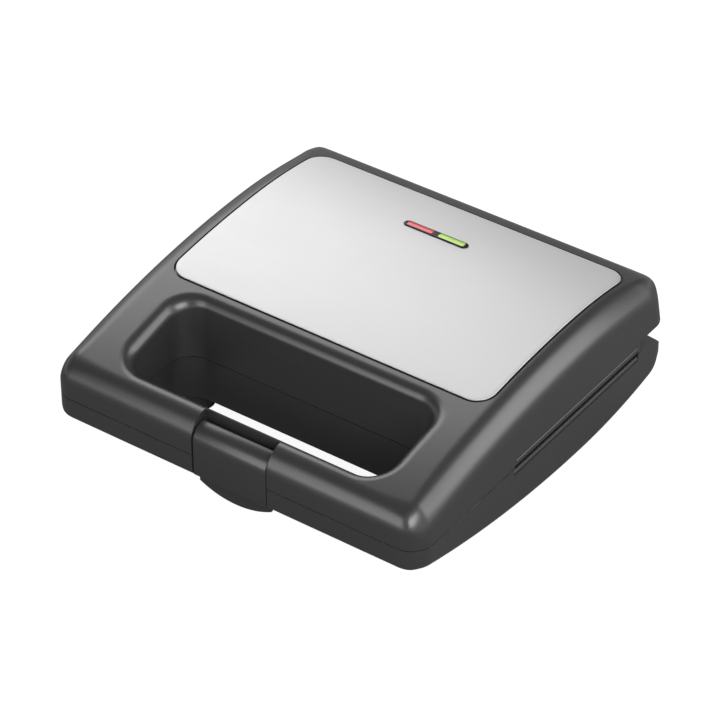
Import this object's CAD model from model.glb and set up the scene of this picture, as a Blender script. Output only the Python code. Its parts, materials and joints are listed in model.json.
"""Sandwich toaster: the visible surfaces, finishes and a studio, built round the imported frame."""
import json
import math
from functools import partial
from types import SimpleNamespace

import bpy
import numpy as np
from bpy.props import FloatProperty, FloatVectorProperty, PointerProperty
from mathutils import Matrix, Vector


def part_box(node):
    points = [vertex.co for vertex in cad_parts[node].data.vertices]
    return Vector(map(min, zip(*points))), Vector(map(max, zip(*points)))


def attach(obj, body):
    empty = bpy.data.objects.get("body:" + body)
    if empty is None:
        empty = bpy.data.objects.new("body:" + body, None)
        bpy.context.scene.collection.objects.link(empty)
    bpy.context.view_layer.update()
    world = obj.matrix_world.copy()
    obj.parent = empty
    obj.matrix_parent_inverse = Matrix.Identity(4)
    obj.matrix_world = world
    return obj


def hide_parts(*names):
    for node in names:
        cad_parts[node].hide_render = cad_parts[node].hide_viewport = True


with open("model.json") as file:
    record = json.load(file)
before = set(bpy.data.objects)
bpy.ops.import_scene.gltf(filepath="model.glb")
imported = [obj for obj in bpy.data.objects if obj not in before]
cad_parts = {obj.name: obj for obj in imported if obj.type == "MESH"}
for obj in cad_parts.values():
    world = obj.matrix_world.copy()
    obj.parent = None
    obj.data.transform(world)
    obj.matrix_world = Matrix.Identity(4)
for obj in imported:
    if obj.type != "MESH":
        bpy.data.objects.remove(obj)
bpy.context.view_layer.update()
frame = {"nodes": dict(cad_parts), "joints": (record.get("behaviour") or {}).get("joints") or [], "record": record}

bl_info = {
    "name": "Sandwich toaster",
    "version": (1, 0, 0),
    "blender": (4, 5, 0),
    "location": "3D View > Sidebar > Toaster",
    "description": "Builds the toaster's casings, latch, panel, lamps and plates on the packed frame",
    "category": "Object",
}

MM = 0.001
NODE_SLOTS = {part["node"]: part["material_slot"] for part in frame["record"]["subparts"]}
AXES = {joint["name"]: [value / MM for value in joint["pos_m"][1:]] for joint in frame["joints"]}


def length(name, text, value, low=0.0, high=500.0):
    """A length property that is written in millimetres and kept in metres."""
    return FloatProperty(name=name, description=text, default=value * MM, min=low * MM,
                         max=high * MM, unit="LENGTH", precision=5)


def colour(name, text, value):
    """A colour property, linear RGB."""
    return FloatVectorProperty(name=name, description=text, default=value, size=3,
                               subtype="COLOR", min=0.0, max=1.0)


def amount(name, text, value, low=0.0, high=10.0):
    """A plain number."""
    return FloatProperty(name=name, description=text, default=value, min=low, max=high)


class ToasterCasings(bpy.types.PropertyGroup):
    """Sizes of the two casings and of what is cut into them."""

    width: length("Width", "Overall width", 235)
    depth: length("Depth", "Overall depth", 238)
    corner: length("Corner radius", "Radius of the upright corners", 13)
    lid_floor: length("Lid floor", "Height of the lid's lower face", 42.25)
    base_top: length("Base top", "Height of the base's upper face", 41.75)
    parting_soft: length("Parting edge", "Rounding of the edges at the parting line", 0.05)
    crown_z: length("Crown", "Height of the lid's crown", 84.3)
    crown_y: length("Crown place", "Where the lid is highest, front to back", 43)
    crown_front: length("Crown radius, front", "Side-view radius in front of the crown", 590, 0,
                        2000)
    crown_rear: length("Crown radius, rear", "Side-view radius behind the crown", 305, 0, 2000)
    lid_side_soft: length("Lid side edge", "Rounding of the lid's long edges", 15.5)
    lid_front_soft: length("Lid front edge", "Rounding of the handle's upper front edge", 9.6)
    lid_rear_soft: length("Lid rear edge", "Rounding of the lid's upper rear edge", 5)
    belly_z: length("Belly", "Height of the base's lowest line", 8)
    belly_y: length("Belly place", "Where the base is lowest, front to back", 38)
    belly_front: length("Belly radius, front", "Side-view radius in front of it", 600, 0, 2000)
    belly_rear: length("Belly radius, rear", "Side-view radius behind it", 300, 0, 2000)
    base_side_soft: length("Base side edge", "Rounding of the base's long edges", 7.3)
    base_front_soft: length("Base front edge", "Rounding of the handle's lower front edge", 3)
    base_rear_soft: length("Base rear edge", "Rounding of the base's lower rear edge", 5)
    beam_y: length("Hinge beam", "Front face of the hinge beam", 90.9)
    beam_z: length("Beam height", "Top of the hinge beam", 48.9)
    slope_y: length("Slope start", "Where the beam's back starts to slope", 97)
    slope_end_z: length("Slope end", "Where the slope meets the rear face", 28.6)
    skirt_z: length("Skirt", "Lower edge of the lid above the hinge beam", 49.2)
    wall: length("Wall", "Wall over the inner well", 2.6)
    hole_width: length("Handle opening width", "Width of the opening at the parting line", 161.6)
    hole_depth: length("Handle opening depth", "Front to back", 52.1)
    hole_front: length("Handle bar", "Depth of the bar in front of the opening", 17.5)
    hole_corner: length("Handle opening corner", "Corner radius of the opening", 14)
    rim_side: length("Rim, sides", "Radius of the round rim at the sides", 7.4)
    rim_front: length("Rim, front", "Spread of the round rim to the front", 8)
    rim_front_drop: length("Rim drop, front", "Depth of the round rim at the front", 9)
    rim_rear: length("Rim, rear", "Radius of the round rim at the rear", 5.2)
    slot_front: length("Side slot front", "Front end of the side slots", -32, -120)
    slot_rear: length("Side slot rear", "Rear end of the side slots in the base", 88)
    slot_low: length("Side slot ledge", "Height of the ledge in the side slots", 39.6)
    slot_high: length("Side slot top", "Height of the lid's edge over the slots", 43.4)
    notch: length("Latch notch", "Half the width of the notch for the latch", 24)
    lid_notch_y: length("Lid notch back", "Back of the notch in the lid", -106, -120)
    base_notch_y: length("Base notch back", "Back of the notch in the base", -110.6, -120)
    seat_gap: length("Panel gap", "Gap round the steel panel", 1.2)
    seat_deep: length("Panel seat", "Depth of the seat under the steel panel", 1.9)


class ToasterFittings(bpy.types.PropertyGroup):
    """Sizes of the panel, lamps, latch, feet, hinges and cooking plates."""

    panel_width: length("Panel width", "Width of the steel panel", 203)
    panel_depth: length("Panel depth", "Depth of the steel panel", 138)
    panel_corner: length("Panel corner", "Corner radius of the steel panel", 11)
    panel_y: length("Panel place", "Middle of the steel panel, front to back", 31.5)
    panel_proud: length("Panel height", "How far the panel stands over the lid", 0.4)
    panel_sunk: length("Panel underside", "How far the panel's underside is below the lid's top",
                       0.2)
    bezel_length: length("Bezel length", "Length of the lamp bezel", 41.4)
    bezel_width: length("Bezel width", "Width of the lamp bezel", 5.8)
    bezel_y: length("Bezel place", "Middle of the lamp bezel, front to back", 67.4)
    lens_length: length("Lens length", "Length of each lens", 16.4)
    lens_x: length("Lens place", "Distance of each lens from the centre line", 10.2)
    latch_width: length("Latch width", "Width of the latch", 46.8)
    latch_low: length("Latch edge", "Lower edge of the latch's front face", 29.6)
    latch_thick: length("Latch thickness", "Thickness of the latch's front plate", 3)
    latch_round: length("Latch round", "Radius of the latch's curved upper end", 9.4)
    latch_hub: length("Latch round height", "Height of the centre of that curve", 50.4)
    tab_low: length("Tab", "Lowest point of the finger tab", 17.4)
    tab_radius: length("Tab radius", "Radius of the finger tab's half moon", 48.6)
    foot_radius: length("Foot radius", "Radius of the rubber feet", 8.6)
    foot_x: length("Feet, sideways", "Distance of the feet from the centre line", 82)
    foot_front_y: length("Front feet", "Place of the front feet, front to back", -38, -120)
    foot_rear_y: length("Rear feet", "Place of the rear feet, front to back", 80)
    knuckle: length("Knuckle radius", "Outer radius of the hinge knuckles", 4.6)
    plate_width: length("Plate width", "Width of each cooking plate", 214)
    pocket_width: length("Pocket width", "Width of each pocket", 97)
    pocket_length: length("Pocket length", "Length of each pocket, front to back", 112)
    pocket_deep: length("Pocket depth", "Depth of each pocket", 14)
    ridge_high: length("Ridge height", "Height of the ridge across each pocket", 9)


class ToasterFinish(bpy.types.PropertyGroup):
    """Colours and surface qualities."""

    plastic: colour("Casing", "Satin black plastic of the casings", (0.026, 0.026, 0.0265))
    plastic_rough: amount("Casing roughness", "Roughness of the satin plastic", 0.33, 0, 1)
    steel: colour("Panel", "Satin stainless steel", (0.72, 0.72, 0.72))
    steel_rough: amount("Panel roughness", "Roughness of the steel", 0.56, 0, 1)
    red: colour("Red lens", "Power lens", (0.5, 0.06, 0.075))
    green: colour("Green lens", "Ready lens", (0.33, 0.52, 0.085))
    non_stick: colour("Plates", "Non-stick coat", (0.03, 0.03, 0.032))
    rubber: colour("Feet", "Black rubber", (0.02, 0.02, 0.02))


class ToasterStudio(bpy.types.PropertyGroup):
    """Camera and lights."""

    lens: amount("Lens", "Focal length in millimetres on a 36 mm sensor", 175.03, 10, 500)
    camera_place: FloatVectorProperty(name="Camera", description="Where the camera stands",
                                      default=(0.8615, -1.2145, 1.1677), size=3, unit="LENGTH")
    azimuth: amount("Azimuth", "Turn of the view about the vertical, degrees", 35.424, 0, 360)
    elevation: amount("Elevation", "How far the camera looks down, degrees", 37.124, 0, 90)
    ambient: amount("Ambient", "Strength of the surroundings on matt surfaces", 0.35)
    horizon: amount("Horizon in gloss",
                    "Strength of the surroundings in reflections near the horizon", 1.0)
    ceiling: amount("Ceiling in gloss", "Strength of the surroundings in reflections from above",
                    0.05)
    floor_seen: amount("Floor", "Brightness of the floor to the camera, before its shadow", 0.93)
    floor_gloss: amount("Floor in gloss", "Glow that the floor adds in reflections", 0.04)
    left_light: amount("Left rear light", "Power of the large light behind on the left, watts",
                       5.7, 0, 500)
    right_light: amount("Right rear light", "Power of the light behind on the right, watts", 5.5,
                        0, 500)
    front_light: amount("Front left light", "Power of the light in front on the left, watts", 2.6,
                        0, 500)
    corner_light: amount("Front right light", "Power of the light in front on the right, watts",
                         8.0, 0, 500)


def in_mm(group):
    """All values of a group, its lengths in millimetres."""
    values = {}
    for key, prop in group.bl_rna.properties.items():
        if prop.type == "FLOAT":
            values[key] = getattr(group, key) / MM if prop.unit == "LENGTH" else getattr(group, key)
    return SimpleNamespace(**values)


# ---------- outlines ----------

def rounded_rect(width, depth, radius, middle=(0.0, 0.0), inset=0.0, counts=(40, 40, 12)):
    """Points round a rectangle with quarter-circle corners, from the front-left corner's end to the
    right: straight runs and corner arcs with the same number of points for every size."""
    across, along, turn = counts
    half_w, half_d = width / 2 - inset, depth / 2 - inset
    r = max(radius - inset, 1e-3)
    cx, cy = half_w - r, half_d - r
    runs = [((-cx, -half_d), (cx, -half_d), across), ((half_w, -cy), (half_w, cy), along),
            ((cx, half_d), (-cx, half_d), across), ((-half_w, cy), (-half_w, -cy), along)]
    hubs = [(cx, -cy, -90), (cx, cy, 0), (-cx, cy, 90), (-cx, -cy, 180)]
    points = []
    for (start, end, count), (hx, hy, a0) in zip(runs, hubs):
        t = np.arange(count)[:, None] / count
        points.append(np.array(start) * (1 - t) + np.array(end) * t)
        a = np.radians(a0 + 90 * np.arange(turn) / turn)
        points.append(np.column_stack([hx + r * np.cos(a), hy + r * np.sin(a)]))
    return np.vstack(points) + np.array(middle)


def arc_points(cx, cy, radius, start, end, count):
    """Points on a circle between two angles in degrees."""
    a = np.radians(np.linspace(start, end, count))
    return np.column_stack([cx + radius * np.cos(a), cy + radius * np.sin(a)])


def inset_loop(loop, amount_in):
    """Moves every point of a closed loop inwards along the mean of its two edge normals, by the
    amount divided by the cosine of half the turn there."""
    ahead = np.roll(loop, -1, axis=0)
    if (loop[:, 0] * ahead[:, 1] - loop[:, 1] * ahead[:, 0]).sum() < 0:
        return inset_loop(loop[::-1], amount_in)[::-1]
    before = loop - np.roll(loop, 1, axis=0)
    after = ahead - loop
    before /= np.linalg.norm(before, axis=1)[:, None]
    after /= np.linalg.norm(after, axis=1)[:, None]
    normal_a = np.column_stack([-before[:, 1], before[:, 0]])
    normal_b = np.column_stack([-after[:, 1], after[:, 0]])
    mean = normal_a + normal_b
    mean /= np.linalg.norm(mean, axis=1)[:, None]
    scale = np.clip((mean * normal_b).sum(axis=1), 0.5, 1.0)
    return loop + mean * (amount_in / scale)[:, None]


# ---------- meshes ----------

SHARP = 35.0  # degrees: where a surface turns by more than this, its edge is drawn sharp


def signed_volume(points, face_groups):
    """Six times the volume enclosed by fans of triangles, positive where faces point outwards."""
    total = 0.0
    for faces in face_groups:
        for k in range(1, faces.shape[1] - 1):
            a, b, c = points[faces[:, 0]], points[faces[:, k]], points[faces[:, k + 1]]
            total += (a * np.cross(b, c)).sum()
    return total


def new_object(name, data):
    """A new object with its data, in the scene's own collection."""
    thing = bpy.data.objects.new(name, data)
    bpy.context.scene.collection.objects.link(thing)
    return thing


def mesh_piece(name, points, face_groups, sharp=SHARP):
    """Makes an object from points in millimetres and arrays of faces, turned to point outwards,
    with smooth shading that breaks at edges sharper than the given angle in degrees."""
    if signed_volume(points, face_groups) < 0:
        face_groups = [faces[:, ::-1] for faces in face_groups]
    mesh = bpy.data.meshes.new(name)
    mesh.from_pydata((points * MM).tolist(), [],
                     [face for group in face_groups for face in group.tolist()])
    mesh.validate()
    piece = new_object(name, mesh)
    shade(piece, sharp)
    return piece


def shade(piece, sharp=SHARP):
    """Smooth faces, with sharp edges where the surface turns more than the angle."""
    mesh = piece.data
    mesh.polygons.foreach_set("use_smooth", np.ones(len(mesh.polygons), bool))
    mesh.set_sharp_from_angle(angle=math.radians(sharp))
    mesh.update()


def band_faces(rows, columns, wrap_rows=False):
    """Quads between neighbouring rows of a grid whose columns close on themselves."""
    last = rows if wrap_rows else rows - 1
    i, j = np.meshgrid(np.arange(last), np.arange(columns), indexing="ij")
    i, j = i.ravel(), j.ravel()
    k, m = (i + 1) % rows, (j + 1) % columns
    return np.column_stack([i * columns + j, i * columns + m, k * columns + m, k * columns + j])


def capped(name, grid, poles=True):
    """Closed piece from a grid of rings: the first and last ring close in a fan round their middle,
    or in one flat face."""
    rows, columns = grid.shape[:2]
    points = grid.reshape(-1, 3)
    groups = [band_faces(rows, columns)]
    first = np.arange(columns)
    last = (rows - 1) * columns + first
    if poles:
        points = np.vstack([points, grid[0].mean(axis=0), grid[-1].mean(axis=0)])
        low, high = len(points) - 2, len(points) - 1
        groups.append(np.column_stack([np.roll(first, -1), first, np.full(columns, low)]))
        groups.append(np.column_stack([last, np.roll(last, -1), np.full(columns, high)]))
    else:
        groups += [first[::-1][None, :], last[None, :]]
    return mesh_piece(name, points, groups)


def as_height(level):
    """A height given as a number or as a function of x and y, as a function."""
    return level if callable(level) else (lambda x, y: np.full_like(x, float(level)))


SLAB_HUB = 0.02  # size of the innermost ring, as a share of the outline


def soft_slab(name, outline, top, bottom, soft=0.3, soft_low=None, rings=6, steps=4):
    """Closed slab: rings grow from the middle over the top surface, turn down round an edge of
    radius soft, and close again over the bottom. outline(inset) gives the plan; top and bottom are
    heights or functions of x and y."""
    soft_low = soft if soft_low is None else soft_low
    top, bottom = as_height(top), as_height(bottom)
    middle = outline(0.0).mean(axis=0)
    rows = []
    edge = outline(soft)
    for t in np.linspace(SLAB_HUB, 1.0, rings):
        ring = middle + (edge - middle) * t
        rows.append(np.column_stack([ring, top(*ring.T)]))
    for a in np.radians(np.linspace(0, 90, steps + 1))[1:]:
        ring = outline(soft * (1 - math.sin(a)))
        rows.append(np.column_stack([ring, top(*ring.T) - soft * (1 - math.cos(a))]))
    for a in np.radians(np.linspace(90, 0, steps + 1)):
        ring = outline(soft_low * (1 - math.sin(a)))
        rows.append(np.column_stack([ring, bottom(*ring.T) + soft_low * (1 - math.cos(a))]))
    edge = outline(soft_low)
    for t in np.linspace(1.0, SLAB_HUB, rings)[1:]:
        ring = middle + (edge - middle) * t
        rows.append(np.column_stack([ring, bottom(*ring.T)]))
    return capped(name, np.array(rows))


def soft_bar(name, loop, start, end, axis="x", soft=0.6, steps=4):
    """Closed bar: a loop carried from start to end, its ends rounded by insetting the loop along a
    quarter circle. axis x carries a (y, z) loop, axis y an (x, z) loop."""
    angles = np.radians(np.linspace(0, 90, steps + 1))
    places = [(start + soft * (1 - math.sin(a)), soft * (1 - math.cos(a))) for a in angles[::-1]]
    places += [(end - soft * (1 - math.sin(a)), soft * (1 - math.cos(a))) for a in angles]
    rows = []
    for place_on_axis, inset in places:
        ring = inset_loop(loop, inset) if inset > 1e-6 else loop
        fixed = np.full(len(ring), place_on_axis)
        parts = [fixed, ring[:, 0], ring[:, 1]] if axis == "x" else [ring[:, 0], fixed, ring[:, 1]]
        rows.append(np.column_stack(parts))
    return capped(name, np.array(rows), poles=False)


def lathe(name, profile, centre, columns=64):
    """Closed piece: (radius, height) points turned about an upright axis."""
    a = 2 * np.pi * np.arange(columns) / columns
    r, z = np.asarray(profile, float).T
    grid = np.stack([centre[0] + r[:, None] * np.cos(a), centre[1] + r[:, None] * np.sin(a),
                     np.repeat(z[:, None], columns, axis=1)], axis=-1)
    return capped(name, grid)


def block(name, low, high, soft=0.05):
    """Box-shaped cutter from corner to corner, its upright edges rounded by soft."""
    middle = ((low[0] + high[0]) / 2, (low[1] + high[1]) / 2)
    plan = partial(rounded_rect, high[0] - low[0], high[1] - low[1], soft, middle, counts=(8, 8, 4))
    return soft_slab(name, plan, high[2], low[2], soft=0.01, rings=2, steps=1)


def joined(name, pieces):
    """One object that holds the meshes of several."""
    points, faces, start = [], [], 0
    for piece in pieces:
        mesh = piece.data
        coords = np.empty(3 * len(mesh.vertices))
        mesh.vertices.foreach_get("co", coords)
        points.append(coords.reshape(-1, 3))
        corners = np.empty(len(mesh.loops), np.int32)
        mesh.loops.foreach_get("vertex_index", corners)
        begins = np.empty(len(mesh.polygons), np.int32)
        mesh.polygons.foreach_get("loop_start", begins)
        faces += [face.tolist() for face in np.split(corners + start, begins[1:])]
        start += len(mesh.vertices)
        bpy.data.objects.remove(piece)
    mesh = bpy.data.meshes.new(name)
    mesh.from_pydata(np.vstack(points).tolist(), [], faces)
    whole = new_object(name, mesh)
    shade(whole)
    return whole


def carve(piece, groups, operation="DIFFERENCE"):
    """Cuts each group of cutters, which don't touch each other, from the piece's own mesh, and
    removes them."""
    for group in groups:
        cutter = joined("cutter", group)
        modifier = piece.modifiers.new("carve", "BOOLEAN")
        modifier.operation = operation
        modifier.solver = "MANIFOLD"
        modifier.object = cutter
        solid = piece.evaluated_get(bpy.context.evaluated_depsgraph_get())
        mesh = bpy.data.meshes.new_from_object(solid)
        piece.modifiers.clear()
        if len(mesh.polygons) == 0:
            raise RuntimeError(f"{piece.name}: the cut left nothing")
        piece.data = mesh
        bpy.data.objects.remove(cutter)
    shade(piece)


def place(piece, body, slot_name, material, *nodes):
    """Rides a finished piece on its body, with its slot, material and the nodes it stands for."""
    piece.data.materials.clear()
    piece.data.materials.append(material)
    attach(piece, body)
    if nodes:
        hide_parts(*nodes)


# ---------- casing forms ----------

def rect_distance(x, y, half_x, half_y, radius):
    """Signed distance in plan to a rectangle with rounded corners, negative inside."""
    qx, qy = np.abs(x) - (half_x - radius), np.abs(y) - (half_y - radius)
    outside = np.hypot(np.maximum(qx, 0), np.maximum(qy, 0))
    return outside + np.minimum(np.maximum(qx, qy), 0) - radius


def round_join(a, b, radius):
    """Both distances must be negative, and the edge where they meet is a quarter circle."""
    outside = np.hypot(np.maximum(a + radius, 0), np.maximum(b + radius, 0))
    return np.minimum(np.maximum(a, b), -radius) + outside


def oval_join(a, b, reach_a, reach_b):
    """As round_join, with a quarter ellipse that reaches along each of the two faces."""
    u, v = np.maximum(1 + a / reach_a, 0), np.maximum(1 + b / reach_b, 0)
    edge = (np.hypot(u, v) - 1) * reach_b
    return np.where((u > 0) | (v > 0), edge, np.maximum(a, b))


def crown_height(s, y):
    """Height of the lid's top along y: two arcs that meet at the crown."""
    radius = np.where(y < s.crown_y, s.crown_front, s.crown_rear)
    return s.crown_z - radius + np.sqrt(radius ** 2 - (y - s.crown_y) ** 2)


def over_crown(s, rise):
    """Surface that runs a rise above the lid's top, as a function of x and y."""
    return lambda x, y: crown_height(s, y) + rise


def belly_height(s, y):
    """Height of the base's underside along y: two arcs that meet at the belly."""
    radius = np.where(y < s.belly_y, s.belly_front, s.belly_rear)
    return s.belly_z + radius - np.sqrt(radius ** 2 - (y - s.belly_y) ** 2)


def slope_numbers(s):
    """Unit normal of the sloping back of the hinge beam, in y and z."""
    run = np.array([s.depth / 2 - s.slope_y, s.slope_end_z - s.beam_z])
    run /= np.linalg.norm(run)
    return -run[1], run[0]


LID_LEAN = math.tan(math.radians(13))   # run per height of the lid's rear face, upwards
BASE_LEAN = math.tan(math.radians(20))  # the same of the base's rear face, downwards
HOLE_DRAFT = 0.065       # run per height of the opening's sides
HOLE_REAR_DRAFT = 0.09   # and of its rear
SLOPE_SOFT = 0.3         # rounding where the base's shell meets the slope of the hinge beam
BEAM_SOFT = 0.02         # rounding of the base's top under the hinge beam
MOUTH_SOFT = 0.4         # rounding of the opening's lower mouth


def opening(s, x, y, z):
    """Distance into the handle opening, positive in it, with a little draft towards the top at its
    sides and rear, and how much a place belongs to its sides rather than its front and rear."""
    rise = np.maximum(z - s.lid_floor, 0)
    half_x = s.hole_width / 2 + HOLE_DRAFT * rise
    half_y = (s.hole_depth + HOLE_REAR_DRAFT * rise) / 2
    middle = s.hole_front - s.depth / 2 + half_y
    distance = -rect_distance(x, y - middle, half_x, half_y, s.hole_corner)
    ux = np.maximum(np.abs(x) - (half_x - s.hole_corner), 0)
    uy = np.maximum(np.abs(y - middle) - (half_y - s.hole_corner), 0)
    share = (ux ** 2 + 1e-9) / (ux ** 2 + uy ** 2 + 2e-9)
    return distance, share, middle


def plan_form(s, x, y, rear):
    """Distance outside the plan with its rear edge at rear, the share of the sides in a place, and
    whether the place is nearer to the front."""
    middle, half = (rear - s.depth / 2) / 2, (rear + s.depth / 2) / 2
    side = rect_distance(x, y - middle, s.width / 2, half, s.corner)
    dx, dy = s.width / 2 - np.abs(x), half - np.abs(y - middle)
    share = np.maximum(dy, 0.0) ** 2 / (np.maximum(dx, 0.0) ** 2 + np.maximum(dy, 0.0) ** 2 + 1e-6)
    return side, share, y < middle


def lid_form(s, x, y, z):
    """The lid as one distance: plan prism with a leaning rear, a two-arc crown joined to it by
    rounded edges, a flat floor, and the opening joined to the crown by an oval rim."""
    rear = s.depth / 2 - LID_LEAN * np.maximum(z - s.skirt_z, 0)
    side, share, front = plan_form(s, x, y, rear)
    radius = np.where(y < s.crown_y, s.crown_front, s.crown_rear)
    crown = np.hypot(y - s.crown_y, z - s.crown_z + radius) - radius
    end_soft = np.where(front, s.lid_front_soft, s.lid_rear_soft)
    edge = share * s.lid_side_soft + (1 - share) * end_soft
    floor = s.lid_floor - z
    hole, hole_side, hole_y = opening(s, x, y, z)

    def rim_size(at_front):
        return hole_side * s.rim_side + (1 - hole_side) * np.where(y < hole_y, at_front, s.rim_rear)

    shell = round_join(round_join(side, crown, edge), floor, s.parting_soft)
    rim = oval_join(hole, crown, rim_size(s.rim_front), rim_size(s.rim_front_drop))
    return np.maximum(np.maximum(shell, rim), round_join(hole, floor, s.parting_soft))


def base_form(s, x, y, z):
    """The base as one distance: plan prism with a leaning rear, a two-arc belly, a sloping back
    under the hinge, a flat top, and the opening."""
    rear = s.depth / 2 - BASE_LEAN * np.maximum(s.slope_end_z - z, 0)
    side, share, front = plan_form(s, x, y, rear)
    radius = np.where(y < s.belly_y, s.belly_front, s.belly_rear)
    belly = np.hypot(y - s.belly_y, z - s.belly_z - radius) - radius
    end_soft = np.where(front, s.base_front_soft, s.base_rear_soft)
    edge = share * s.base_side_soft + (1 - share) * end_soft
    ny, nz = slope_numbers(s)
    slope = (y - s.slope_y) * ny + (z - s.beam_z) * nz
    top = z - s.base_top
    top_soft = np.where(y < s.beam_y - 2, s.parting_soft, BEAM_SOFT)
    hole = opening(s, x, y, z)[0]
    shell = round_join(round_join(round_join(side, belly, edge), slope, SLOPE_SOFT), top, top_soft)
    mouth = round_join(round_join(hole, belly, MOUTH_SOFT), top, s.parting_soft)
    return np.maximum(shell, mouth)


RAY_LENGTH = 45.0   # longer than any ray from a spine to the surface
RAY_HALVINGS = 20


def reach(form, base, direction):
    """Point on each ray from inside a form where it meets the surface, by halving the interval."""
    low, high = np.zeros(base.shape[:-1]), np.full(base.shape[:-1], RAY_LENGTH)
    for _ in range(RAY_HALVINGS):
        mid = (low + high) / 2
        point = base + direction * mid[..., None]
        inside = form(point[..., 0], point[..., 1], point[..., 2]) < 0
        low, high = np.where(inside, mid, low), np.where(inside, high, mid)
    return base + direction * ((low + high) / 2)[..., None]


RING_COUNTS = (110, 54, 22)   # sections along the long runs, the short runs and each corner
SPINE_MARGIN = (12.0, 0.4)    # how far the spine's ends keep from the outlines: at most, as a share
QUARTER_RAYS = 150            # trial rays on each of the four quarters of a section
SECTION_POINTS = 168          # final points of a section
LENGTH_WEIGHTS = (0.45, 1.0, 0.15, 1.0)  # top, outer end, bottom and inner end, per millimetre
TURN_WEIGHT = 12.0            # of a radian of turn, against a millimetre of length


def ring_casing(name, s, form, mid_height):
    """A casing round the handle opening, as a closed ring of closed sections. Each upright section
    joins matching places of the opening's outline and the plan's outline. A spine runs inside it,
    and rays turn once round the spine: up along it, over its outer end, back below it and over its
    inner end. The points are where the rays meet the form, spaced by length and by turn."""
    middle_y = s.hole_front - s.depth / 2 + s.hole_depth / 2
    inner = rounded_rect(s.hole_width, s.hole_depth, s.hole_corner, (0, middle_y), 0, RING_COUNTS)
    outer = rounded_rect(s.width, s.depth, s.corner, (0, 0), 0, RING_COUNTS)
    across = outer - inner
    span = np.linalg.norm(across, axis=1)[:, None]
    across = across / span
    margin = np.minimum(SPINE_MARGIN[0], SPINE_MARGIN[1] * span)
    start, end = inner + across * margin, outer - across * margin

    def surface(along, turn):
        """Points of the form that rays from places along the spines meet, at their turns."""
        plan = start[:, None] * (1 - along[..., None]) + end[:, None] * along[..., None]
        base = np.dstack([plan, mid_height(plan[..., 1])])
        out = np.cos(turn)[..., None] * across[:, None]
        return reach(form, base, np.dstack([out, np.sin(turn)]))

    n = QUARTER_RAYS
    half = np.linspace(0, 1, n, endpoint=False)
    along = np.concatenate([half, np.ones(n), 1 - half, np.zeros(n)])
    turn = np.pi * np.concatenate([np.full(n, 0.5), 0.5 - half, np.full(n, -0.5), -0.5 - half])
    count = len(inner)
    along, turn = np.tile(along, (count, 1)), np.tile(turn, (count, 1))
    points = surface(along, turn)

    step = np.roll(points, -1, axis=1) - points
    size = np.linalg.norm(step, axis=2)
    heading = step / np.maximum(size, 1e-9)[..., None]
    bend = np.arccos(np.clip((heading * np.roll(heading, 1, axis=1)).sum(axis=2), -1, 1))
    weight = size * np.repeat(LENGTH_WEIGHTS, n) + TURN_WEIGHT * bend
    total = np.cumsum(weight, axis=1)
    total = np.hstack([np.zeros((count, 1)), total]) / total[:, -1:]
    wanted = np.arange(SECTION_POINTS) / SECTION_POINTS
    index = (total[:, None, 1:] <= wanted[None, :, None]).sum(axis=2)
    left = np.take_along_axis(total, index, axis=1)
    right = np.take_along_axis(total, index + 1, axis=1)
    part_way = (wanted - left) / np.maximum(right - left, 1e-12)

    def at_wanted(values, last):
        """The rays' values at the wanted places, with the value that closes the turn."""
        values = np.hstack([values, np.full((count, 1), last)])
        return (np.take_along_axis(values, index, axis=1) * (1 - part_way)
                + np.take_along_axis(values, index + 1, axis=1) * part_way)

    points = surface(at_wanted(along, 0.0), at_wanted(turn, -1.5 * np.pi))
    return mesh_piece(name, points.reshape(-1, 3),
                      [band_faces(count, SECTION_POINTS, wrap_rows=True)])


# ---------- operators ----------

PAST = 2.0                  # how far cutters reach past the faces that they cut
SKY, CELLAR = 100.0, 30.0   # heights above the lid and below its floor, where its cutters end
BASE_SKY = 60.0             # height above the base where its cutters end
LID_HOLLOW = 60.0           # a height in the lid's well
SLOT_DEEP = 8.0             # how far the side slots reach into the casings
SLOT_FLOOR = 30.0           # height of the floor behind the ledge of the base's slots
WELL_GAP, WELL_DEPTH, WELL_CORNER, WELL_Y = 1.0, 132.0, 10.0, 23.6   # room for a cooking plate
KNUCKLE_SOFT = 0.5          # rounding of the ends of the hinge knuckles and ears
LID_KNUCKLES = ((-75, 15.2), (75, 15.2), (8.2, 15.6))                # middle and width, along x
BASE_EARS = ((-63.5, 7.0), (-86.5, 7.0), (63.5, 7.0), (86.5, 7.0), (-8.2, 15.6))


class ToasterStep:
    """What the building steps share."""

    def sizes(self, context):
        """The casings' and fittings' sizes in millimetres, and the finishes."""
        scene = context.scene
        return in_mm(scene.toaster_casings), in_mm(scene.toaster_fittings), scene.toaster_finish


def cutter_slab(name, outline, top, bottom, rings):
    """Cutter with an outline that follows two surfaces, with practically sharp edges."""
    return soft_slab(name, outline, top, bottom, 0.01, rings=rings, steps=1)


def cutter_bar(name, loop, start, end):
    """Cutter along y with practically sharp ends."""
    return soft_bar(name, np.array(loop), start, end, axis="y", soft=0.01, steps=1)


def well_outline(f):
    """Outline of the room for a cooking plate, the same in both casings."""
    return partial(rounded_rect, f.plate_width + WELL_GAP, WELL_DEPTH, WELL_CORNER, (0, WELL_Y))


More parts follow.
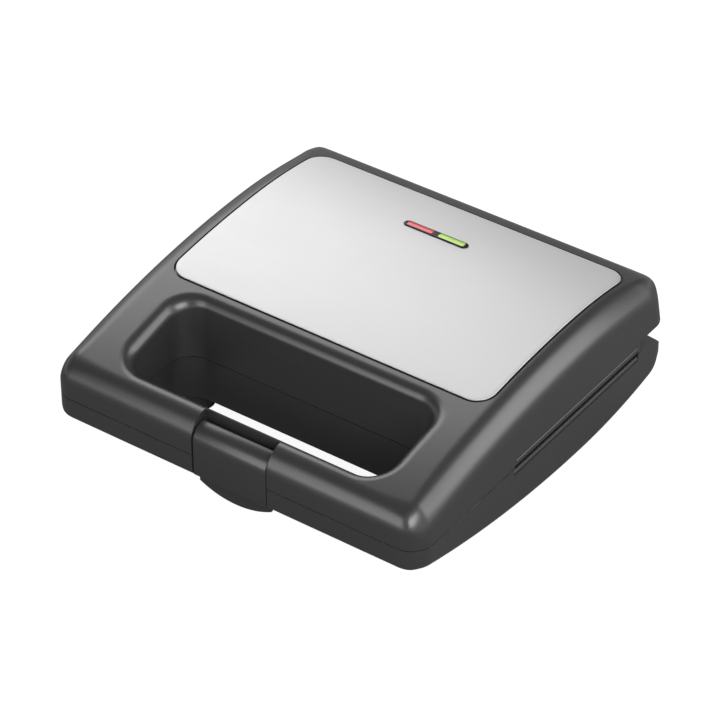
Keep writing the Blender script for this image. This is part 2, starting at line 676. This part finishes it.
class TOASTER_OT_lid_casing(ToasterStep, bpy.types.Operator):
    """Builds the lid's casing with its rim, panel seat, latch notch and hinge knuckles."""

    bl_idname = "toaster.lid_casing"
    bl_label = "Lid casing"

    def execute(self, context):
        s, f, finish = self.sizes(context)
        casing = ring_casing("lid_casing", s, partial(lid_form, s),
                             lambda y: (crown_height(s, y) + s.lid_floor) / 2)
        half_w, front, rear = s.width / 2, -s.depth / 2, s.depth / 2
        seat = partial(rounded_rect, f.panel_width + 2 * s.seat_gap, f.panel_depth + 2 * s.seat_gap,
                       f.panel_corner + s.seat_gap, (0, f.panel_y))
        slit_width = f.bezel_width - 2
        slit = partial(rounded_rect, f.bezel_length - 2, slit_width, slit_width / 2 - 0.01,
                       (0, f.bezel_y))
        first = [
            cutter_slab("seat", seat, SKY, over_crown(s, -s.seat_deep), rings=40),
            cutter_slab("well", well_outline(f), over_crown(s, -s.wall), CELLAR, rings=24),
            block("notch", (-s.notch, front - PAST, CELLAR), (s.notch, s.lid_notch_y, SKY), 0.3),
        ]
        second = [
            cutter_slab("slit", slit, SKY, LID_HOLLOW, rings=3),
            block("skirt", (-half_w - PAST, s.beam_y - 0.5, CELLAR),
                  (half_w + PAST, rear + PAST, s.skirt_z)),
        ]
        third = []
        for side in (-1, 1):
            low, high = sorted((side * (half_w - SLOT_DEEP), side * (half_w + PAST)))
            first.append(block("slot", (low, s.slot_front, CELLAR),
                               (high, s.slot_rear, s.slot_high)))
            third.append(self.trace(s, side, half_w))
        carve(casing, [first, second, third])
        plastic = satin_plastic(finish)
        place(casing, "lid", NODE_SLOTS["lid_shell"], plastic, "lid_shell", "lid_frame")
        for number, (x, width) in enumerate(LID_KNUCKLES, 1):
            knuckle = self.knuckle(f"lid_knuckle_{number}", f, x, width)
            place(knuckle, "lid", NODE_SLOTS["lid_shell"], plastic)
        return {"FINISHED"}

    def trace(self, s, side, half_w):
        """Shallow V groove that runs along the lid just over the side slot."""
        edge, deep = side * (half_w + 0.3), side * (half_w - 0.25)
        low, high = s.slot_high + 2.3, s.slot_high + 3.4
        return cutter_bar("trace", [[edge, low], [edge, high], [deep, (low + high) / 2]],
                          s.slot_front + 2, s.slot_rear - 1)

    def knuckle(self, name, f, x, width):
        """Half circle under the hinge axis with straight sides up into the lid."""
        y, z = AXES["lid_hinge"]
        loop = np.vstack([arc_points(y, z, f.knuckle, 180, 360, 24),
                          [[y + f.knuckle, z + 14], [y - f.knuckle, z + 14]]])
        return soft_bar(name, loop, x - width / 2, x + width / 2, soft=KNUCKLE_SOFT)


class TOASTER_OT_base_casing(ToasterStep, bpy.types.Operator):
    """Builds the base's casing with the hinge beam, side slots, vents and hinge ears."""

    bl_idname = "toaster.base_casing"
    bl_label = "Base casing"

    def execute(self, context):
        s, f, finish = self.sizes(context)
        ny, nz = slope_numbers(s)

        def middle(y):
            """Height halfway between the belly and the top or, behind the beam, the slope."""
            slope = s.beam_z - (y - s.slope_y) * ny / nz
            return (belly_height(s, y) + np.minimum(slope, s.base_top)) / 2

        casing = ring_casing("base_casing", s, partial(base_form, s), middle)
        self.add_beam(s, casing)
        carve(casing, self.cutters(s, f))
        plastic = satin_plastic(finish)
        place(casing, "base", NODE_SLOTS["base_shell"], plastic, "base_shell", "base_frame")
        for number, (x, width) in enumerate(BASE_EARS, 1):
            ear = self.ear(f"hinge_ear_{number}", s, f, x, width)
            place(ear, "base", NODE_SLOTS["base_shell"], plastic)
        return {"FINISHED"}

    def add_beam(self, s, casing):
        """Joins the bar under the hinge to the casing: upright in front, sloping behind."""
        ny, nz = slope_numbers(s)
        low, half_w = s.base_top - 2, s.width / 2
        beam = np.vstack([[[s.beam_y, low]], [[s.slope_y + (s.beam_z - low) * nz / ny, low]],
                          arc_points(s.slope_y - 0.4, s.beam_z - 1, 1, 47, 90, 5),
                          arc_points(s.beam_y + 0.6, s.beam_z - 0.6, 0.6, 90, 180, 5)])
        carve(casing, [[soft_bar("beam", beam, -half_w, half_w, soft=0.3, steps=2)]], "UNION")

    def cutters(self, s, f):
        """Three groups of cutters: the well, notch and slots; the pit behind the well, the slots'
        second step, vents and screw wells; the cord's bore and a groove under each slot."""
        half_w, front = s.width / 2, -s.depth / 2
        pit = partial(rounded_rect, 124, 17, 2, (0, 96.5))
        first = [
            cutter_slab("well", well_outline(f), BASE_SKY,
                        lambda x, y: belly_height(s, y) + s.wall, rings=24),
            block("notch", (-s.notch, front - PAST, 0), (s.notch, s.base_notch_y, BASE_SKY), 0.3),
        ]
        second, third = [cutter_slab("pit", pit, 34, 19, rings=3)], [self.cord_bore()]
        for side in (-1, 1):
            outer, ledge, deep = (side * (half_w + by) for by in (PAST, -2, -SLOT_DEEP))
            edge, low = side * (half_w - 0.8), s.slot_low
            loop = [[edge, low], [outer, low - 4.9], [outer, BASE_SKY], [deep, BASE_SKY],
                    [deep, low]]
            first.append(cutter_bar("slot", loop, s.slot_front, s.slot_rear))
            low_x, high_x = sorted((ledge, deep))
            second.append(block("slot", (low_x, s.slot_front, SLOT_FLOOR),
                                (high_x, s.slot_rear, BASE_SKY)))
            inner, z = side * (half_w - 0.9), s.slot_low - 1.75
            loop = [[outer, z + 2.3], [outer, z + 2.95], [inner, z - 0.85], [inner, z - 1.5]]
            third.append(cutter_bar("line", loop, s.slot_front, s.slot_rear))
        for x in range(-48, 49, 12):
            for y in (-8, 62):
                vent = partial(rounded_rect, 3, 24, 1.49, (x, y), counts=(4, 16, 6))
                second.append(cutter_slab("vent", vent, 16, 0, rings=2))
        for x in (-100, 100):
            for y in (-35, 83):
                second.append(lathe("screw_well", [(0.1, 0), (4, 0), (4, 17), (0.1, 17)], (x, y)))
        return [first, second, third]

    def cord_bore(self):
        """Round bore through the rear wall for the inlet bush."""
        low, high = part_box("cord_bush")
        x, z = (low.x + high.x) / 2 / MM, (low.z + high.z) / 2 / MM
        return cutter_bar("cord_bore", arc_points(x, z, 4.2, 0, 360, 49)[:-1], 103, 125)

    def ear(self, name, s, f, x, width):
        """Half circle round the hinge axis with straight sides down into the sloping back."""
        ny, nz = slope_numbers(s)
        facing = math.degrees(math.atan2(nz, ny))
        arc = arc_points(*AXES["lid_hinge"], f.knuckle, facing - 90, facing + 90, 24)
        foot = arc[[-1, 0]] - 7.5 * np.array([ny, nz])
        return soft_bar(name, np.vstack([arc, foot]), x - width / 2, x + width / 2,
                        soft=KNUCKLE_SOFT)


class TOASTER_OT_steel_panel(ToasterStep, bpy.types.Operator):
    """Builds the thin steel panel, a rounded rectangle that follows the lid's crown, and the raised
    middle of the seat that carries it."""

    bl_idname = "toaster.steel_panel"
    bl_label = "Steel panel"

    def execute(self, context):
        s, f, finish = self.sizes(context)
        plan = partial(rounded_rect, f.panel_width, f.panel_depth, f.panel_corner, (0, f.panel_y),
                       counts=(70, 60, 16))
        under = over_crown(s, -f.panel_sunk)
        panel = soft_slab("steel_panel", plan, over_crown(s, f.panel_proud), under, 0.29, rings=48)
        pad = soft_slab("panel_pad", lambda inset: plan(inset + 1.5), under,
                        over_crown(s, -s.seat_deep - 0.3), 0.05, rings=24, steps=1)
        place(pad, "lid", NODE_SLOTS["lid_shell"], satin_plastic(finish))
        place(panel, "lid", NODE_SLOTS["top_panel"], satin_steel(finish), "top_panel")
        return {"FINISHED"}


class TOASTER_OT_lamp_bezel(ToasterStep, bpy.types.Operator):
    """Builds the lamp bezel, a stadium with a round edge, and its two lenses, crowned across by a
    parabola."""

    bl_idname = "toaster.lamp_bezel"
    bl_label = "Lamp bezel"

    def execute(self, context):
        s, f, finish = self.sizes(context)
        panel = f.panel_proud
        plan = partial(rounded_rect, f.bezel_length, f.bezel_width, f.bezel_width / 2 - 0.01,
                       (0, f.bezel_y), counts=(40, 1, 20))
        bezel = soft_slab("lamp_bezel", plan, over_crown(s, panel + 0.6),
                          over_crown(s, panel + 0.02), 0.6, 0.02, rings=8, steps=6)
        place(bezel, "lid", NODE_SLOTS["lamp_bezel"], gloss_black(), "lamp_bezel")

        def crown(x, y):
            return crown_height(s, y) + panel + 0.84 - 0.05 * (y - f.bezel_y) ** 2

        for side, name, tint in ((-1, "power_lens", finish.red), (1, "ready_lens", finish.green)):
            window = partial(rounded_rect, f.lens_length, f.bezel_width - 1.8, 1.0,
                             (side * f.lens_x, f.bezel_y), counts=(30, 8, 6))
            lens = soft_slab(name + "_cap", window, crown, over_crown(s, panel + 0.1), 0.25,
                             rings=8)
            place(lens, "lid", NODE_SLOTS[name], lens_finish(name, tint), name)
        return {"FINISHED"}


class TOASTER_OT_latch(ToasterStep, bpy.types.Operator):
    """Builds the latch: a curved front plate, a half-moon finger tab, lugs and a barb, each a side
    outline carried across, the tab a front outline carried back."""

    bl_idname = "toaster.latch"
    bl_label = "Latch"

    TAB_FRONT, TAB_BACK, TAB_TOP = -114.6, -112.0, 33.5
    LUG_RADIUS, LUG_X, LUG_HALF = 3.6, 18.0, 2.0
    BARB = ((-113, 29.7), (-110.9, 31.6), (-110.9, 32.6), (-113, 32.6))
    BARB_HALF = 8.0

    def execute(self, context):
        s, f, finish = self.sizes(context)
        front = -s.depth / 2
        pieces = [self.plate(f, front), self.tab(f)]
        y, z = AXES["latch_pivot"]
        r = self.LUG_RADIUS
        lug = np.vstack([arc_points(y, z, r, -90, 90, 20), [[front + 2, z + r]],
                         [[front + 2, z - r]]])
        for side in (-1, 1):
            x = side * self.LUG_X
            pieces.append(soft_bar("lug", lug, x - self.LUG_HALF, x + self.LUG_HALF, soft=0.3))
        pieces.append(soft_bar("barb", np.array(self.BARB), -self.BARB_HALF, self.BARB_HALF,
                               soft=0.1, steps=2))
        latch = joined("latch_clip", pieces)
        place(latch, "latch", NODE_SLOTS["latch"], satin_plastic(finish), "latch")
        return {"FINISHED"}

    def plate(self, f, front):
        """Side outline: a rounded lower edge, straight up, a quarter circle back to a rounded tip,
        and the same way down inside, a thickness away."""
        y, z, low = front + f.latch_round, f.latch_hub, f.latch_low
        outer = arc_points(y, z, f.latch_round, 180, 90, 24)
        lip = arc_points(y, z, f.latch_round - f.latch_thick, 90, 180, 20)
        tip = (outer[-1] + lip[0]) / 2
        across = outer[-1] - tip
        over = 0.6 * np.array([across[1], -across[0]])
        turns = np.linspace(0.3, np.pi - 0.3, 7)
        cap = [tip + across * math.cos(a) + over * math.sin(a) for a in turns]
        outline = np.vstack([arc_points(front + 0.8, low + 0.8, 0.8, 270, 180, 6), outer, cap, lip,
                             [[front + f.latch_thick, low + 5]], [[self.TAB_BACK, low + 4]],
                             [[self.TAB_BACK, low]]])
        half = f.latch_width / 2
        return soft_bar("latch_plate", outline[::-1], -half, half, soft=0.7)

    def tab(self, f):
        """Front outline: an arc between two points of the same height, straight sides above it."""
        half = f.latch_width / 2 - 0.4
        angle = math.degrees(math.asin(half / f.tab_radius))
        arc = arc_points(0, f.tab_low + f.tab_radius, f.tab_radius, 270 - angle, 270 + angle, 48)
        moon = np.vstack([arc, [[half, self.TAB_TOP]], [[-half, self.TAB_TOP]]])
        return soft_bar("latch_tab", moon, self.TAB_FRONT, self.TAB_BACK, axis="y", soft=0.8)


class TOASTER_OT_feet(ToasterStep, bpy.types.Operator):
    """Builds the four rubber feet and the sockets that hold them, as profiles turned about axes."""

    bl_idname = "toaster.feet"
    bl_label = "Feet"

    def execute(self, context):
        _, f, finish = self.sizes(context)
        r = f.foot_radius
        pad = np.vstack([[[0.1, 0.35], [r - 3.4, 0.35], [r - 3.0, 0.0]],
                         arc_points(r - 0.8, 0.8, 0.8, -90, 0, 6),
                         [[r, 2.0], [r - 0.4, 2.45], [0.1, 2.45]]])
        socket = [[0.1, 2.5], [r - 0.2, 2.5], [r + 0.15, 2.9], [r + 0.15, 14], [0.1, 14]]
        for row, y in (("front", f.foot_front_y), ("rear", f.foot_rear_y)):
            for side, name in ((-1, "left"), (1, "right")):
                centre = (side * f.foot_x, y)
                node = f"foot_{row}_{name}"
                place(lathe(node + "_pad", pad, centre), "base", NODE_SLOTS[node], rubber(finish),
                      node)
                place(lathe(node + "_socket", socket, centre), "base", NODE_SLOTS["base_shell"],
                      satin_plastic(finish))
        return {"FINISHED"}


def smooth_step(t):
    """Rises from 0 to 1 with level ends while t does."""
    t = np.clip(t, 0, 1)
    return t * t * (3 - 2 * t)


class TOASTER_OT_cooking_plates(ToasterStep, bpy.types.Operator):
    """Builds the two cooking plates as height fields with two pockets and a ridge across each."""

    bl_idname = "toaster.cooking_plates"
    bl_label = "Cooking plates"

    FRONT, REAR, CORNER, THICK = -42.0, 89.0, 10.0, 2.0
    COLUMNS, ROWS = 220, 140
    POCKET_Y, POCKET_X, POCKET_CORNER, TAPER = 24.0, 4.0, 12.0, 6.5
    RIDGE_HALF, RIDGE_END = 7.0, 2.0

    def execute(self, context):
        _, f, finish = self.sizes(context)
        for name, node, face, up in (("lower_cooking_plate", "base_plate", 41.6, 1),
                                     ("upper_cooking_plate", "lid_plate", 42.4, -1)):
            place(self.plate(f, name, face, up), node.split("_")[0], NODE_SLOTS[node],
                  non_stick(finish), node)
        return {"FINISHED"}

    def depth(self, f, x, y):
        """Depth of the face: each pocket falls over a soft taper inside its rounded outline, and a
        ridge with sloping sides crosses it from corner to corner."""
        half_x, half_y = f.pocket_width / 2, f.pocket_length / 2
        px = np.abs(x) - (self.POCKET_X + half_x)
        py = y - self.POCKET_Y
        inside = -rect_distance(px, py, half_x, half_y, self.POCKET_CORNER)
        pocket = f.pocket_deep * smooth_step(inside / self.TAPER)
        lean = np.array([half_x, half_y]) / math.hypot(half_x, half_y)
        from_ridge = np.abs(px * lean[1] - py * lean[0])
        ridge = f.ridge_high * smooth_step(1 - from_ridge / self.RIDGE_HALF)
        return np.maximum(pocket - ridge * np.clip(inside / self.RIDGE_END, 0, 1), 0)

    def plate(self, f, name, face, up):
        """Top grid with its rows drawn in at the corners, a copy a thickness behind it, and a wall
        between their edges."""
        low, high, corner = self.FRONT, self.REAR, self.CORNER
        columns, rows = self.COLUMNS, self.ROWS
        v = np.linspace(low, high, rows)
        past = np.maximum(np.maximum(low + corner - v, v - high + corner), 0)
        width = f.plate_width / 2 - corner + np.sqrt(corner ** 2 - past ** 2)
        x = np.linspace(-1, 1, columns)[None, :] * width[:, None]
        y = np.repeat(v[:, None], columns, axis=1)
        top = np.dstack([x, y, face - up * self.depth(f, x, y)])
        back = top - np.array([0, 0, up * self.THICK])
        points = np.vstack([top.reshape(-1, 3), back.reshape(-1, 3)])
        i, j = np.meshgrid(np.arange(rows - 1), np.arange(columns - 1), indexing="ij")
        a = (i * columns + j).ravel()
        quads = np.column_stack([a, a + 1, a + columns + 1, a + columns])
        shift = rows * columns
        rim = np.concatenate([np.arange(columns - 1), np.arange(rows - 1) * columns + columns - 1,
                              shift - 1 - np.arange(columns - 1),
                              np.arange(rows - 1, 0, -1) * columns])
        step = np.roll(rim, -1)
        walls = np.column_stack([step, rim, rim + shift, step + shift])
        return mesh_piece(name, points, [quads, quads[:, ::-1] + shift, walls], sharp=50.0)


class TOASTER_OT_node_finishes(ToasterStep, bpy.types.Operator):
    """Gives every inner part that is shown as CAD made it its own finish."""

    bl_idname = "toaster.node_finishes"
    bl_label = "Inner parts"

    def execute(self, context):
        finishes = {
            "inner_black": grainy("inner_black", (0.02, 0.02, 0.021), 0.6),
            "element_sheath": grainy("element_sheath", (0.22, 0.2, 0.18), 0.5, metallic=0.9,
                                     spread=0.35),
            "plated_steel": grainy("plated_steel", (0.6, 0.6, 0.58), 0.28, metallic=1.0),
            "bright_sheet": grainy("bright_sheet", (0.72, 0.72, 0.73), 0.3, metallic=1.0),
            "ceramic": grainy("ceramic", (0.72, 0.68, 0.58), 0.5),
            "brass": grainy("brass", (0.62, 0.45, 0.18), 0.3, metallic=1.0),
            "rubber_black": grainy("rubber_black", (0.02, 0.02, 0.02), 0.75),
            "lead_jacket": grainy("lead_jacket", (0.42, 0.03, 0.03), 0.5),
            "glass_sleeve": grainy("glass_sleeve", (0.7, 0.68, 0.6), 0.8, scale=1500, bump=0.4),
            "white_plastic": grainy("white_plastic", (0.75, 0.74, 0.7), 0.45),
            "lamp_glass": grainy("lamp_glass", (0.9, 0.6, 0.45), 0.12, spread=0.1),
        }
        for name, node in frame["nodes"].items():
            if node.hide_render:
                continue
            for slot in node.material_slots:
                slot.material = finishes[NODE_SLOTS[name]]
        return {"FINISHED"}


# ---------- finishes ----------

def feed(tree, node, inputs):
    """Gives each named or numbered input of a node its value, or links the given output to it."""
    for key, value in inputs.items():
        if isinstance(value, bpy.types.NodeSocket):
            tree.links.new(value, node.inputs[key])
        else:
            node.inputs[key].default_value = value


def add_node(tree, kind, inputs, **settings):
    """Adds a node, makes its settings, which decide its inputs, and then feeds those."""
    node = tree.nodes.new("ShaderNode" + kind)
    for key, value in settings.items():
        setattr(node, key, value)
    feed(tree, node, inputs)
    return node


def noise(tree, coords, scale, detail=3.0, roughness=0.5, stretch=None):
    """Noise on object coordinates, at scale features per metre, optionally stretched."""
    if stretch:
        coords = add_node(tree, "Mapping", {"Vector": coords, "Scale": stretch}).outputs["Vector"]
    inputs = {"Vector": coords, "Scale": scale, "Detail": detail, "Roughness": roughness}
    return add_node(tree, "TexNoise", inputs).outputs["Fac"]


def make_finish(name, base, spread, tint, rough, grain, relief=None, others=None):
    """Finds a finish by its name or makes it. A first noise, tint, takes the base colour darker and
    lighter by the spread. A second, grain, moves the roughness between two values. The relief is a
    third noise with a strength and a distance in metres. Each noise is given as its settings, and
    others are more inputs of the shader."""
    material = bpy.data.materials.get(name)
    if material:
        return material
    material = bpy.data.materials.new(name)
    material.use_nodes = True
    tree = material.node_tree
    coords = add_node(tree, "TexCoord", {}).outputs["Object"]
    dark = [value * (1 - spread) for value in base]
    light = [min(1.0, value * (1 + spread)) for value in base]
    mix = {"Factor": noise(tree, coords, *tint), "A": (*dark, 1), "B": (*light, 1)}
    span = {"Value": noise(tree, coords, *grain), "From Min": 0.3, "From Max": 0.7,
            "To Min": rough[0], "To Max": rough[1]}
    inputs = {"Base Color": add_node(tree, "Mix", mix, data_type="RGBA").outputs["Result"],
              "Roughness": add_node(tree, "MapRange", span).outputs["Result"], **(others or {})}
    if relief:
        fine, strength, distance = relief
        bump = {"Height": noise(tree, coords, *fine), "Strength": strength, "Distance": distance}
        inputs["Normal"] = add_node(tree, "Bump", bump).outputs["Normal"]
    feed(tree, tree.nodes["Principled BSDF"], inputs)
    return material


def grainy(name, base, rough, metallic=0.0, spread=0.12, scale=900.0, bump=0.15):
    """General finish: broad tint, finer roughness and a fine bump from three noises."""
    return make_finish(name, base, spread, (45.0,), (rough * 0.88, min(1.0, rough * 1.12)),
                       (220.0,), ((scale, 2.0), bump, 0.0001), {"Metallic": metallic})


def satin_plastic(finish):
    """Moulded satin black: a spark-eroded grain a third of a millimetre across, slight sheen."""
    rough = finish.plastic_rough
    return make_finish("satin_plastic", finish.plastic, 0.06, (30.0,), (rough - 0.02, rough + 0.03),
                       (1400.0, 2.0), ((2600.0, 2.0), 0.03, 0.00004), {"Specular IOR Level": 1.0})


def satin_steel(finish):
    """Fine satin steel: hair lines along the width change roughness and relief."""
    rough, hair = finish.steel_rough, (60.0, 4.0, 0.6, (0.6, 60.0, 60.0))
    return make_finish("satin_steel_finish", finish.steel, 0.03, (9.0, 2.0),
                       (rough - 0.03, rough + 0.04), hair, (hair, 0.05, 0.00002),
                       {"Metallic": 1.0})


def gloss_black():
    """Gloss black plastic of the bezel."""
    return make_finish("gloss_black_finish", (0.006, 0.006, 0.006), 0.1, (60.0,), (0.14, 0.2),
                       (400.0,), ((500.0,), 0.05, 0.00002), {"Specular IOR Level": 0.2})


def lens_finish(name, tint):
    """Tinted clear plastic with ribs that glows faintly from the light in it."""
    ribs = (300.0, 1.0, 0.5, (0.15, 4.0, 1.0))
    glow = {"Emission Color": (*tint, 1), "Emission Strength": 0.15, "Coat Weight": 0.3}
    return make_finish(name + "_finish", tint, 0.12, ribs, (0.12, 0.2), (300.0,), others=glow)


def rubber(finish):
    """Matt rubber of the feet."""
    return grainy("foot_rubber", finish.rubber, 0.8, scale=1600.0, bump=0.25)


def non_stick(finish):
    """Non-stick coat: a fine orange peel with a soft gloss."""
    return make_finish("non_stick_coat", finish.non_stick, 0.12, (40.0,), (0.3, 0.42), (260.0,),
                       ((1100.0, 2.0), 0.15, 0.00008))


# ---------- studio ----------

FLOOR_HALF = 3.0          # half the length of the floor's sides, in metres
FLOOR_GREY = 0.15         # what the floor reflects
GLOSS_FALL = 0.08, 0.24   # upward part of a direction where reflections start to darken and end
AIM = 0.0, 0.0, 0.05      # what the lights face

LIGHTS = (  # name, place, size and the direction of its first side, in metres
    ("left_light", (-0.72, 0.50, 0.79), (0.95, 0.76), (0.66, 0.75, 0.34)),
    ("right_light", (0.70, 0.45, 0.56), (0.65, 0.85), (0, 1, 0)),
    ("front_light", (-0.25, -0.95, 0.36), (0.5, 0.66), (1, 0, 0)),
    ("corner_light", (0.76, -0.55, 0.62), (0.7, 0.6), (0.59, 0.81, 0)),
)


def seen_ray(tree, path):
    """1 for what the camera sees straight or through clear parts, otherwise 0."""
    rays = {0: path.outputs["Is Camera Ray"], 1: path.outputs["Is Transmission Ray"]}
    return add_node(tree, "Math", rays, operation="MAXIMUM").outputs["Value"]


class TOASTER_OT_studio(bpy.types.Operator):
    """Sets up the floor, the soft lights, the surroundings and the camera."""

    bl_idname = "toaster.studio"
    bl_label = "Studio"

    def execute(self, context):
        studio = context.scene.toaster_studio
        self.floor(studio)
        self.world(context.scene, studio)
        for name, where, size, along in LIGHTS:
            self.light(name, getattr(studio, name), where, size, along)
        self.camera(context.scene, studio)
        context.scene.view_settings.view_transform = "Standard"
        return {"FINISHED"}

    def floor(self, studio):
        """Grey floor that shows nearly white to the camera and keeps the shadow."""
        half, grey = FLOOR_HALF, FLOOR_GREY
        mesh = bpy.data.meshes.new("floor")
        mesh.from_pydata([(-half, -half, 0), (half, -half, 0), (half, half, 0), (-half, half, 0)],
                         [], [(0, 1, 2, 3)])
        floor = new_object("floor", mesh)
        material = bpy.data.materials.new("floor_white")
        material.use_nodes = True
        tree = material.node_tree
        shader = tree.nodes["Principled BSDF"]
        feed(tree, shader,
             {"Base Color": (grey, grey, grey, 1), "Roughness": 0.9, "Specular IOR Level": 0.0})
        path = add_node(tree, "LightPath", {})
        glow = add_node(tree, "Math", {0: path.outputs["Is Glossy Ray"], 1: studio.floor_gloss},
                        operation="MULTIPLY")
        level = add_node(tree, "Math", {0: seen_ray(tree, path), 1: studio.floor_seen,
                                        2: glow.outputs["Value"]}, operation="MULTIPLY_ADD")
        white = add_node(tree, "Emission", {"Strength": level.outputs["Value"]})
        both = add_node(tree, "AddShader",
                        {0: shader.outputs["BSDF"], 1: white.outputs["Emission"]})
        feed(tree, tree.nodes["Material Output"], {"Surface": both.outputs["Shader"]})
        mesh.materials.append(material)

    def world(self, scene, studio):
        """Surroundings: white to the camera and through clear parts, even and softer as light, and
        in reflections white at the horizon under a dark ceiling."""
        world = bpy.data.worlds.new("studio")
        scene.world = world
        world.use_nodes = True
        tree = world.node_tree
        path = add_node(tree, "LightPath", {})
        level = add_node(tree, "MapRange", {"Value": seen_ray(tree, path), "To Min": studio.ambient,
                                            "To Max": 1.0})
        direction = add_node(tree, "TexCoord", {}).outputs["Generated"]
        upward = add_node(tree, "SeparateXYZ", {"Vector": direction}).outputs["Z"]
        start, end = GLOSS_FALL
        fall = add_node(tree, "MapRange", {"Value": upward, "From Min": start, "From Max": end,
                                           "To Min": studio.horizon, "To Max": studio.ceiling},
                        interpolation_type="SMOOTHSTEP")
        gloss = add_node(tree, "Mix",
                         {"Factor": path.outputs["Is Glossy Ray"], "A": level.outputs["Result"],
                                       "B": fall.outputs["Result"]}, data_type="FLOAT")
        feed(tree, tree.nodes["Background"],
             {"Color": (1, 1, 1, 1), "Strength": gloss.outputs["Result"]})

    def light(self, name, power, where, size, along):
        """Rectangular soft light that faces the toaster, its first side nearest to along."""
        data = bpy.data.lights.new(name, "AREA")
        data.shape = "RECTANGLE"
        data.size, data.size_y = size
        data.energy = power
        back = np.array(where) - np.array(AIM)
        back /= np.linalg.norm(back)
        side = np.array(along, float) - back * np.dot(along, back)
        side /= np.linalg.norm(side)
        turn = Matrix(np.column_stack([side, np.cross(back, side), back]).tolist())
        new_object(name, data).matrix_world = Matrix.Translation(where) @ turn.to_4x4()

    def camera(self, scene, studio):
        """Camera at the photograph's angle: the view turns about the vertical and looks down."""
        data = bpy.data.cameras.new("camera")
        data.lens = studio.lens
        data.sensor_width = 36.0
        data.clip_end = 20.0
        camera = new_object("camera", data)
        camera.location = studio.camera_place
        camera.rotation_euler = (math.radians(90 - studio.elevation), 0,
                                 math.radians(studio.azimuth))
        scene.camera = camera


class TOASTER_PT_build(bpy.types.Panel):
    """Lists the building steps in the sidebar."""

    bl_idname = "TOASTER_PT_build"
    bl_label = "Toaster"
    bl_space_type = "VIEW_3D"
    bl_region_type = "UI"
    bl_category = "Toaster"

    def draw(self, context):
        for step in STEPS:
            self.layout.operator(step.bl_idname)


GROUPS = (ToasterCasings, ToasterFittings, ToasterFinish, ToasterStudio)
STEPS = (TOASTER_OT_lid_casing, TOASTER_OT_base_casing, TOASTER_OT_steel_panel,
         TOASTER_OT_lamp_bezel, TOASTER_OT_latch, TOASTER_OT_feet, TOASTER_OT_cooking_plates,
         TOASTER_OT_node_finishes, TOASTER_OT_studio)


def register():
    for cls in GROUPS + STEPS + (TOASTER_PT_build,):
        bpy.utils.register_class(cls)
    bpy.types.Scene.toaster_casings = PointerProperty(type=ToasterCasings)
    bpy.types.Scene.toaster_fittings = PointerProperty(type=ToasterFittings)
    bpy.types.Scene.toaster_finish = PointerProperty(type=ToasterFinish)
    bpy.types.Scene.toaster_studio = PointerProperty(type=ToasterStudio)


def unregister():
    del bpy.types.Scene.toaster_studio
    del bpy.types.Scene.toaster_finish
    del bpy.types.Scene.toaster_fittings
    del bpy.types.Scene.toaster_casings
    for cls in reversed(GROUPS + STEPS + (TOASTER_PT_build,)):
        bpy.utils.unregister_class(cls)


def main():
    """Builds everything in order."""
    register()
    bpy.ops.toaster.lid_casing()
    bpy.ops.toaster.base_casing()
    bpy.ops.toaster.steel_panel()
    bpy.ops.toaster.lamp_bezel()
    bpy.ops.toaster.latch()
    bpy.ops.toaster.feet()
    bpy.ops.toaster.cooking_plates()
    bpy.ops.toaster.node_finishes()
    bpy.ops.toaster.studio()


if __name__ == "__main__":
    main()
